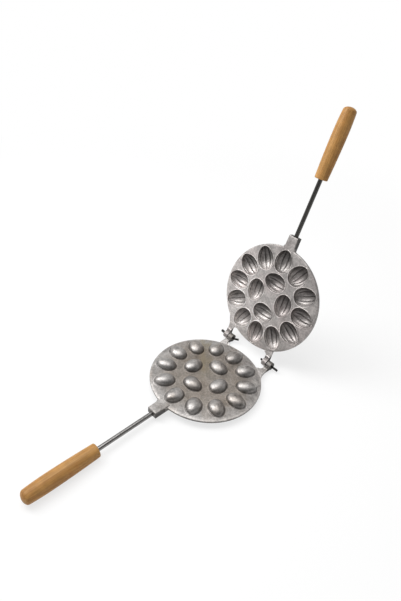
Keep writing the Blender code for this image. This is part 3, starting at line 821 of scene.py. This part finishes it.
def casting_skin():
    """Cast metal in use: uneven tone, a fine grain, and stains where the noise is high."""
    tree, given, result = effect("casting_skin",
                                 (("Vector", "Vector"), ("Metal", "Color"), ("Stain", "Color"), ("Stained", "Float")),
                                 (("Color", "Color"), ("Roughness", "Float"), ("Height", "Float")))
    vector = given["Vector"]
    mottle = noise(tree, vector, 55.0, 6.0, 0.65)
    grain = noise(tree, vector, 620.0, 3.0, 0.6)
    speckle = noise(tree, vector, 260.0, 3.0, 0.7)
    tone = calculate(tree, "MULTIPLY", step(tree, mottle, 0.3, 0.7, 0.78, 1.2), step(tree, grain, 0.25, 0.75, 0.86, 1.14))
    tone = calculate(tree, "MULTIPLY", tone, step(tree, speckle, 0.32, 0.68, 0.8, 1.16))
    patch = noise(tree, vector, 21.0, 4.0, 0.6, 0.4)
    stained = calculate(tree, "MULTIPLY", step(tree, patch, 0.44, 0.66), given["Stained"])
    tree.links.new(shade(tree, mix(tree, stained, given["Metal"], given["Stain"]), tone), result["Color"])
    tree.links.new(step(tree, mottle, 0.3, 0.7, 0.36, 0.5), result["Roughness"])
    tree.links.new(calculate(tree, "ADD", grain, calculate(tree, "MULTIPLY", mottle, 3.0)), result["Height"])
    return tree


def nut_field():
    """Where a point lies in the nearest nut: Distance is 1 on its outline, Across is 1 at its side.

    Fall goes from -1 at the nut's boss end to 1 at its hinge end."""
    tree, given, result = effect("nut_field", (("Vector", "Vector"), ("Half Length", "Float"), ("Half Width", "Float")),
                                 (("Distance", "Float"), ("Across", "Float"), ("Fall", "Float")))
    x, y, _ = split(tree, given["Vector"])
    radius = calculate(tree, "SQRT", calculate(tree, "ADD", calculate(tree, "MULTIPLY", x, x), calculate(tree, "MULTIPLY", y, y)))
    heading = calculate(tree, "ARCTAN2", y, x)
    distances = []
    sides = []
    falls = []
    for count, ring, along, across in ((OUTER_COUNT, OUTER_RING, "Half Length", "Half Width"),
                                       (INNER_COUNT, INNER_RING, "Half Width", "Half Length")):
        reach = math.pi / count
        turn = calculate(tree, "WRAP", heading, reach, -reach)
        out = calculate(tree, "SUBTRACT", calculate(tree, "MULTIPLY", radius, calculate(tree, "COSINE", turn)), ring)
        side = calculate(tree, "MULTIPLY", radius, calculate(tree, "SINE", turn))
        out = calculate(tree, "DIVIDE", out, given[along])
        side = calculate(tree, "DIVIDE", side, given[across])
        distances.append(calculate(tree, "SQRT", calculate(tree, "ADD", calculate(tree, "MULTIPLY", out, out),
                                                           calculate(tree, "MULTIPLY", side, side))))
        sides.append(side if ring == OUTER_RING else out)
        middle = calculate(tree, "MULTIPLY", calculate(tree, "SINE", calculate(tree, "SUBTRACT", heading, turn)), ring)
        falls.append(calculate(tree, "DIVIDE", calculate(tree, "SUBTRACT", y, middle), given["Half Length"]))
    tree.links.new(calculate(tree, "MINIMUM", *distances), result["Distance"])
    outer_is_nearer = calculate(tree, "LESS_THAN", *distances)
    for name, (outer_value, inner_value) in (("Across", sides), ("Fall", falls)):
        gap = calculate(tree, "SUBTRACT", outer_value, inner_value)
        tree.links.new(calculate(tree, "MULTIPLY_ADD", gap, outer_is_nearer, inner_value), result[name])
    return tree


def lengthwise_grain():
    """Streaks along Z, for turned wood and drawn wire."""
    tree, given, result = effect("lengthwise_grain", (("Vector", "Vector"), ("Fineness", "Float"), ("Wander", "Float")),
                                 (("Streak", "Float"), ("Fibre", "Float")))
    streak = noise(tree, stretch(tree, given["Vector"], (1, 1, 0.05)), given["Fineness"], 3.0, 0.55, given["Wander"])
    fine = calculate(tree, "MULTIPLY", given["Fineness"], 5.0)
    fibre = noise(tree, stretch(tree, given["Vector"], (1, 1, 0.02)), fine, 2.0, 0.6)
    tree.links.new(streak, result["Streak"])
    tree.links.new(fibre, result["Fibre"])
    return tree


def shaded_cheeks(tree, x, y):
    """1 on the upright sides of the boss and of the two lugs, where the colour gets painted shade."""
    masks = []
    for low_x, high_x in lug_spans():
        off_middle = calculate(tree, "ABSOLUTE", calculate(tree, "SUBTRACT", x, (low_x + high_x) / 2))
        masks.append(band(tree, off_middle, LUG_WIDTH / 2 - 0.2 * MM, LUG_WIDTH / 2 + 0.2 * MM, 0.3 * MM))
    lugs = calculate(tree, "MULTIPLY", calculate(tree, "MAXIMUM", *masks), step(tree, y, ARM_END - 1.0 * MM, ARM_END))
    taper = (BOSS_ROOT_WIDTH - BOSS_END_WIDTH) / 2 / (BOSS_END - PLATE_RADIUS)
    half_width = calculate(tree, "MULTIPLY_ADD", y, taper, BOSS_END_WIDTH / 2 + taper * BOSS_END)
    short = calculate(tree, "SUBTRACT", half_width, calculate(tree, "ABSOLUTE", x))
    boss_sides = calculate(tree, "MULTIPLY", step(tree, short, 0.5 * MM, 0.9 * MM, 1.0, 0.0),
                           step(tree, y, -PLATE_RADIUS - 5.0 * MM, -PLATE_RADIUS - 3.0 * MM, 1.0, 0.0))
    return calculate(tree, "MAXIMUM", lugs, boss_sides)


def cast_metal(half, place, skin, field):
    """The casting's finish: stains, soot on the back, baked-on grime and painted shade at the bump feet, painted shade
    on the walls, upright sides and hinge end, painted light and shade in the cavities and across the upper casting, and
    painted highlights on the worn rim and lips.
    """
    lower = half == "lower"
    material, tree, shader, vector = finish_material(half + "_cast_aluminium", place, 0.9)
    x, y, z = split(tree, vector)
    if lower:
        length, width, metal, stain, stained = BUMP_LENGTH, BUMP_WIDTH, LOWER_METAL, BROWN_STAIN, 0.6
    else:
        length, width, metal, stain, stained = CAVITY_LENGTH, CAVITY_WIDTH, UPPER_METAL, ROSY_STAIN, 0.5
    skinned = place_effect(tree, skin, Vector=vector, Metal=metal, Stain=stain, Stained=stained)
    colour = skinned["Color"]
    nut = place_effect(tree, field, Vector=vector, Half_Length=length / 2, Half_Width=width / 2)
    distance = nut["Distance"]
    off_middle = calculate(tree, "SQRT", calculate(tree, "ADD", calculate(tree, "MULTIPLY", x, x),
                                                   calculate(tree, "MULTIPLY", y, y)))
    between = calculate(tree, "MULTIPLY", step(tree, distance, 0.97, 1.08), step(tree, z, 0.4 * MM, 1.2 * MM, 1.0, 0.0))
    if lower:
        across = calculate(tree, "ADD", x, y)
        patch = noise(tree, vector, 30.0, 3.0, 0.6, 0.3)
        olive = calculate(tree, "MULTIPLY", step(tree, calculate(tree, "ABSOLUTE", across), 6.0 * MM, 26.0 * MM, 1.0, 0.0),
                          step(tree, calculate(tree, "SUBTRACT", y, x), -20.0 * MM, 30.0 * MM))
        olive = calculate(tree, "MULTIPLY", calculate(tree, "MULTIPLY", olive, between), step(tree, patch, 0.3, 0.6))
        colour = mix(tree, calculate(tree, "MULTIPLY", olive, 0.6), colour, OLIVE_STAIN)
        film = calculate(tree, "MULTIPLY", between, step(tree, off_middle, 62.0 * MM, 94.0 * MM, 1.0, 0.0))
        colour = mix(tree, film, colour, BROWN_FILM, "MULTIPLY")
        # Baked-on grime and painted shade: each bump is darker low on its flank, at its foot.
        foot = calculate(tree, "MULTIPLY", step(tree, distance, 1.04, 1.14, 1.0, 0.0), step(tree, z, 0.0, 9.0 * MM, 1.0, 0.0))
        colour = shade(tree, colour, step(tree, foot, 0.0, 1.0, 1.0, 0.62))
        # Painted highlight: a thin light ring on the face round the foot of each bump.
        colour = shade(tree, colour, step(tree, band(tree, distance, 1.12, 1.15, 0.04), 0.0, 1.0, 1.0, 1.3))
        # Worn bright and a painted highlight: the lower casting's rounded rim is lighter.
        rim = calculate(tree, "MULTIPLY", band(tree, off_middle, PLATE_RADIUS - 2.5 * MM, PLATE_RADIUS, 2.0 * MM),
                        step(tree, z, -2.5 * MM, -1.5 * MM))
        colour = shade(tree, colour, step(tree, rim, 0.0, 1.0, 1.0, 1.22))
    else:
        depth = calculate(tree, "DIVIDE", z, -CAVITY_DEPTH)
        reach = calculate(tree, "SQRT", calculate(tree, "ADD", calculate(tree, "MULTIPLY", distance, distance),
                                                  calculate(tree, "MULTIPLY", depth, depth)))
        skin_side = step(tree, reach, 1.06, 1.09, 1.0, 0.0)
        inside = calculate(tree, "MULTIPLY", step(tree, distance, 0.99, 1.03, 1.0, 0.0), step(tree, z, -1.5 * MM, 0.0, 1.0, 0.0))
        inside = calculate(tree, "MULTIPLY", inside, skin_side)
        back = calculate(tree, "MULTIPLY", step(tree, z, -2.5 * MM, -1.0 * MM, 1.0, 0.0),
                         calculate(tree, "SUBTRACT", 1.0, skin_side))
        colour = shade(tree, colour, step(tree, back, 0.0, 1.0, 1.0, 0.72))
        # Painted shade, with baked-on grease: dark lines along the cavity's ribs.
        turn = calculate(tree, "ARCTAN2", depth, nut["Across"])
        wave = calculate(tree, "ABSOLUTE", calculate(tree, "COSINE", calculate(tree, "MULTIPLY", turn, float(CAVITY_RIBS))))
        line = calculate(tree, "MULTIPLY", inside, step(tree, wave, 0.12, 0.42, 1.0, 0.0))
        colour = shade(tree, colour, step(tree, line, 0.0, 1.0, 1.0, 0.42))
        # Baked-on residue and painted shade: darker towards the bottom of each cavity.
        residue_and_shade = calculate(tree, "MULTIPLY", inside, step(tree, z, -13.0 * MM, 0.0, 1.0, 0.0))
        colour = shade(tree, colour, step(tree, residue_and_shade, 0.0, 1.0, 1.0, 0.75))
        # Painted light and shade: each cavity is darker towards its boss end and lighter towards its hinge end.
        run = step(tree, nut["Fall"], -0.5, 0.75, 0.48, 1.65)
        colour = shade(tree, colour, calculate(tree, "MULTIPLY_ADD", calculate(tree, "SUBTRACT", run, 1.0), inside, 1.0))
        # Painted light: the upper casting grows lighter towards +X and +Y.
        colour = shade(tree, colour, step(tree, calculate(tree, "ADD", x, y), -90.0 * MM, 110.0 * MM, 0.92, 1.36))
        # Worn bright and a painted highlight: the raised lips round the cavities are lighter.
        lip_highlight_and_wear = calculate(tree, "MULTIPLY", band(tree, z, 0.75 * MM, 0.85 * MM, 0.4 * MM),
                        band(tree, distance, 1.02, 1.16, 0.03))
        colour = shade(tree, colour, step(tree, lip_highlight_and_wear, 0.0, 1.0, 1.0, 1.9))
    # Painted shade: below the face and outside the nuts, the walls and the underside are darkened; on the upper casting
    # this happens only at the boss and hinge ends.
    outside = step(tree, distance, 1.02, 1.08)
    wall_shade = calculate(tree, "MULTIPLY", outside, step(tree, z, -3.2 * MM, -1.7 * MM, 1.0, 0.0))
    # Painted shade: the necks and knuckles at the hinge end are darkened; they are also rougher.
    hinge_end = step(tree, y, HINGE_REACH - 17.0 * MM, HINGE_REACH - 9.0 * MM)
    ends = step(tree, calculate(tree, "ABSOLUTE", y), PLATE_RADIUS - 3.0 * MM, PLATE_RADIUS + 1.0 * MM)
    if not lower:
        wall_shade = calculate(tree, "MULTIPLY", wall_shade, ends)
    colour = shade(tree, colour, step(tree, wall_shade, 0.0, 1.0, 1.0, 0.5))
    # Painted shade: the upright sides of the boss and the lugs are darkened.
    colour = shade(tree, colour, step(tree, shaded_cheeks(tree, x, y), 0.0, 1.0, 1.0, 0.42))
    colour = shade(tree, colour, step(tree, ends, 0.0, 1.0, 1.0, 0.94))
    # Painted shade at the hinge end.
    colour = shade(tree, colour, step(tree, hinge_end, 0.0, 1.0, 1.0, 0.58))
    tree.links.new(colour, shader.inputs["Base Color"])
    rough = calculate(tree, "ADD", skinned["Roughness"], calculate(tree, "MULTIPLY", between, 0.06))
    rough = calculate(tree, "ADD", rough, calculate(tree, "MULTIPLY", hinge_end if lower else
                                                    calculate(tree, "MAXIMUM", hinge_end, inside), 0.1))
    tree.links.new(rough, shader.inputs["Roughness"])
    relief(tree, shader, skinned["Height"], 0.05 * MM)
    return material


def grip_wood(half, place, grain):
    """Light turned wood under a thin varnish."""
    material, tree, shader, vector = finish_material(half + "_grip_wood", place, 0.0, Coat_Roughness=0.25)
    streaks = place_effect(tree, grain, Vector=vector, Fineness=170.0, Wander=0.6)
    warm = noise(tree, vector, 26.0, 3.0, 0.55, 0.5)
    colour = mix(tree, step(tree, streaks["Streak"], 0.32, 0.68), PALE_WOOD, TAN_WOOD)
    colour = mix(tree, step(tree, warm, 0.5, 0.7, 0.0, 0.55), colour, ORANGE_WOOD)
    colour = shade(tree, colour, step(tree, streaks["Fibre"], 0.35, 0.62, 0.86, 1.04))
    colour = shade(tree, colour, step(tree, noise(tree, vector, 60.0, 2.0, 0.5), 0.35, 0.65, 0.9, 1.06))
    tree.links.new(colour, shader.inputs["Base Color"])
    tree.links.new(step(tree, streaks["Streak"], 0.3, 0.7, 0.5, 0.62), shader.inputs["Roughness"])
    shader.inputs["Coat Weight"].default_value = 0.06
    shader.inputs["Specular IOR Level"].default_value = 0.3
    relief(tree, shader, streaks["Fibre"], 0.03 * MM)
    return material


def drawn_steel(half, place, grain):
    """Drawn rod with faint lengthwise scratches and brown spots; the upper one's darker colour is painted shade."""
    material, tree, shader, vector = finish_material(half + "_rod_steel", place, 0.95)
    streaks = place_effect(tree, grain, Vector=vector, Fineness=900.0, Wander=0.0)
    spots = noise(tree, vector, 240.0, 3.0, 0.6)
    # Painted light and shade: each rod takes its lit or shaded copy of the steel.
    steel = LIT_LOWER_ROD_STEEL if half == "lower" else SHADED_UPPER_ROD_STEEL
    colour = mix(tree, step(tree, spots, 0.55, 0.72, 0.0, 0.6), steel, RUST_BROWN)
    colour = shade(tree, colour, step(tree, streaks["Streak"], 0.3, 0.7, 0.8, 1.2))
    tree.links.new(colour, shader.inputs["Base Color"])
    tree.links.new(step(tree, streaks["Fibre"], 0.3, 0.7, 0.18, 0.32), shader.inputs["Roughness"])
    relief(tree, shader, streaks["Streak"], 0.01 * MM)
    return material


def black_steel(place):
    """The pins' blackened wire."""
    material, tree, shader, vector = finish_material("blackened_pin_steel", place, 0.7)
    worn = noise(tree, vector, 420.0, 3.0, 0.6)
    tree.links.new(mix(tree, step(tree, worn, 0.5, 0.75), PIN_BLACK, PIN_WORN), shader.inputs["Base Color"])
    tree.links.new(step(tree, worn, 0.35, 0.7, 0.6, 0.4), shader.inputs["Roughness"])
    relief(tree, shader, worn, 0.03 * MM)
    return material


# Camera, floor and lights


def place_camera():
    turn = Matrix.Rotation(CAMERA_TURN.length, 3, CAMERA_TURN.normalized())
    spot = LOWER_PLACE @ -(turn.transposed() @ CAMERA_OFFSET)
    facing = LOWER_PLACE.to_3x3() @ Matrix((turn[0], -turn[1], -turn[2])).transposed()
    data = bpy.data.cameras.new("photo_camera")
    camera = bpy.data.objects.new("photo_camera", data)
    bpy.context.scene.collection.objects.link(camera)
    camera.matrix_world = Matrix.Translation(spot) @ facing.to_4x4()
    data.lens = CAMERA_FOCUS * data.sensor_width / IMAGE_HEIGHT
    data.shift_x = (IMAGE_WIDTH / 2 - CAMERA_CENTRE[0]) / IMAGE_HEIGHT
    data.shift_y = (CAMERA_CENTRE[1] - IMAGE_HEIGHT / 2) / IMAGE_HEIGHT
    data.clip_start = 0.01
    data.clip_end = 100.0
    bpy.context.scene.camera = camera


def floor():
    """A large pale floor, lifted towards white where it is seen or mirrored, and more so far away."""
    bm = bmesh.new()
    bmesh.ops.create_grid(bm, x_segments=1, y_segments=1, size=FLOOR_SIZE)
    obj = make_object(bm, "pale_floor")
    material = bpy.data.materials.new("pale_floor")
    material.use_nodes = True
    tree = material.node_tree
    shader = tree.nodes["Principled BSDF"]
    shader.inputs["Base Color"].default_value = (0.9, 0.9, 0.9, 1.0)
    shader.inputs["Roughness"].default_value = 0.9
    shader.inputs["Specular IOR Level"].default_value = 0.0
    path = tree.nodes.new("ShaderNodeLightPath")
    seen = calculate(tree, "MAXIMUM", path.outputs["Is Camera Ray"], path.outputs["Is Glossy Ray"])
    seen = calculate(tree, "MAXIMUM", seen, path.outputs["Is Transmission Ray"])
    white = tree.nodes.new("ShaderNodeEmission")
    blend = tree.nodes.new("ShaderNodeMixShader")
    away = tree.nodes.new("ShaderNodeVectorMath")
    away.operation = "LENGTH"
    tree.links.new(tree.nodes.new("ShaderNodeTexCoord").outputs["Object"], away.inputs[0])
    lift = step(tree, away.outputs["Value"], *FLOOR_LIFT_REACH, *FLOOR_LIFT)
    tree.links.new(calculate(tree, "MULTIPLY", seen, lift), blend.inputs["Fac"])
    tree.links.new(shader.outputs["BSDF"], blend.inputs[1])
    tree.links.new(white.outputs["Emission"], blend.inputs[2])
    tree.links.new(blend.outputs["Shader"], tree.nodes["Material Output"].inputs["Surface"])
    obj.data.materials.append(material)


def area_light(name, spot, aim, size, power):
    data = bpy.data.lights.new(name, "AREA")
    data.shape = "DISK"
    data.size = size
    data.energy = power
    obj = bpy.data.objects.new(name, data)
    bpy.context.scene.collection.objects.link(obj)
    way = Vector(aim) - Vector(spot)
    obj.matrix_world = Matrix.Translation(spot) @ way.to_track_quat("-Z", "Y").to_matrix().to_4x4()


def studio():
    """A pale room that is darker overhead on the side that the photograph was taken from."""
    world = bpy.data.worlds.new("studio")
    bpy.context.scene.world = world
    world.use_nodes = True
    tree = world.node_tree
    way = tree.nodes.new("ShaderNodeTexCoord").outputs["Generated"]
    facing = tree.nodes.new("ShaderNodeVectorMath")
    facing.operation = "DOT_PRODUCT"
    tree.links.new(way, facing.inputs[0])
    facing.inputs[1].default_value = DARK_SIDE
    rise = split(tree, way)[2]
    dark = calculate(tree, "MULTIPLY", step(tree, facing.outputs["Value"], *DARK_EDGE), band(tree, rise, *DARK_BAND))
    level = calculate(tree, "SUBTRACT", 1.0, calculate(tree, "MULTIPLY", dark, DARK_DEPTH))
    tree.links.new(shade(tree, ROOM_COLOUR, level), tree.nodes["Background"].inputs["Color"])
    tree.nodes["Background"].inputs["Strength"].default_value = ROOM_LEVEL


bpy.context.scene.view_settings.view_transform = "Standard"
place_camera()
floor()
studio()
area_light("overhead_lamp", LAMP_SPOT, (0, 0.05, 0.05), LAMP_SIZE, LAMP_POWER)
area_light("side_lamp", FILL_SPOT, (0, 0.1, 0.1), FILL_SIZE, FILL_POWER)

to_rod = Vector((0, 0, 1)).rotation_difference(ROD_WAY).to_matrix().to_4x4()
rod_place = Matrix.Translation(ROD_ORIGIN) @ to_rod
grip_place = rod_place @ Matrix.Translation((0, 0, ROD_FREE_LENGTH))
skin = casting_skin()
field = nut_field()
grain = lengthwise_grain()

for half, casting, place in (("lower", lower_casting, LOWER_PLACE), ("upper", upper_casting, UPPER_PLACE)):
    body = half + "_half"
    plate = casting()
    settle(plate, place, 18)
    plate.data.materials.append(cast_metal(half, place, skin, field))
    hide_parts(half + "_plate")
    steel = rod(half + "_steel_rod")
    settle(steel, place @ rod_place, 40)
    steel.data.materials.append(drawn_steel(half, place @ rod_place, grain))
    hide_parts(half + "_rod")
    wood = grip(half + "_wooden_grip")
    settle(wood, place @ grip_place, 40)
    wood.data.materials.append(grip_wood(half, place @ grip_place, grain))
    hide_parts(half + "_grip")
    for piece in (plate, steel, wood):
        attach(piece, body)

inner, outer = lug_spans()
pin_reach = 2 * LUG_WIDTH + LUG_GAP
pin_steel = black_steel(LOWER_PLACE)
for side, low_x, roll, eye, bends in (("left", inner[1] - pin_reach, LEFT_PIN_ROLL, LEFT_PIN_EYE, LEFT_PIN_BENDS),
                                      ("right", outer[1] - pin_reach, RIGHT_PIN_ROLL, RIGHT_PIN_EYE, RIGHT_PIN_BENDS)):
    pin = split_pin(side + "_hinge_pin", pin_reach + PIN_HEAD_GAP, eye, bends)
    spot = Matrix.Translation((low_x - PIN_HEAD_GAP / 2, HINGE_REACH, AXIS_HEIGHT))
    settle(pin, LOWER_PLACE @ spot @ Matrix.Rotation(roll, 4, "X"), 40)
    pin.data.materials.append(pin_steel)
    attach(pin, "lower_half")
    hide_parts(side + "_split_pin")
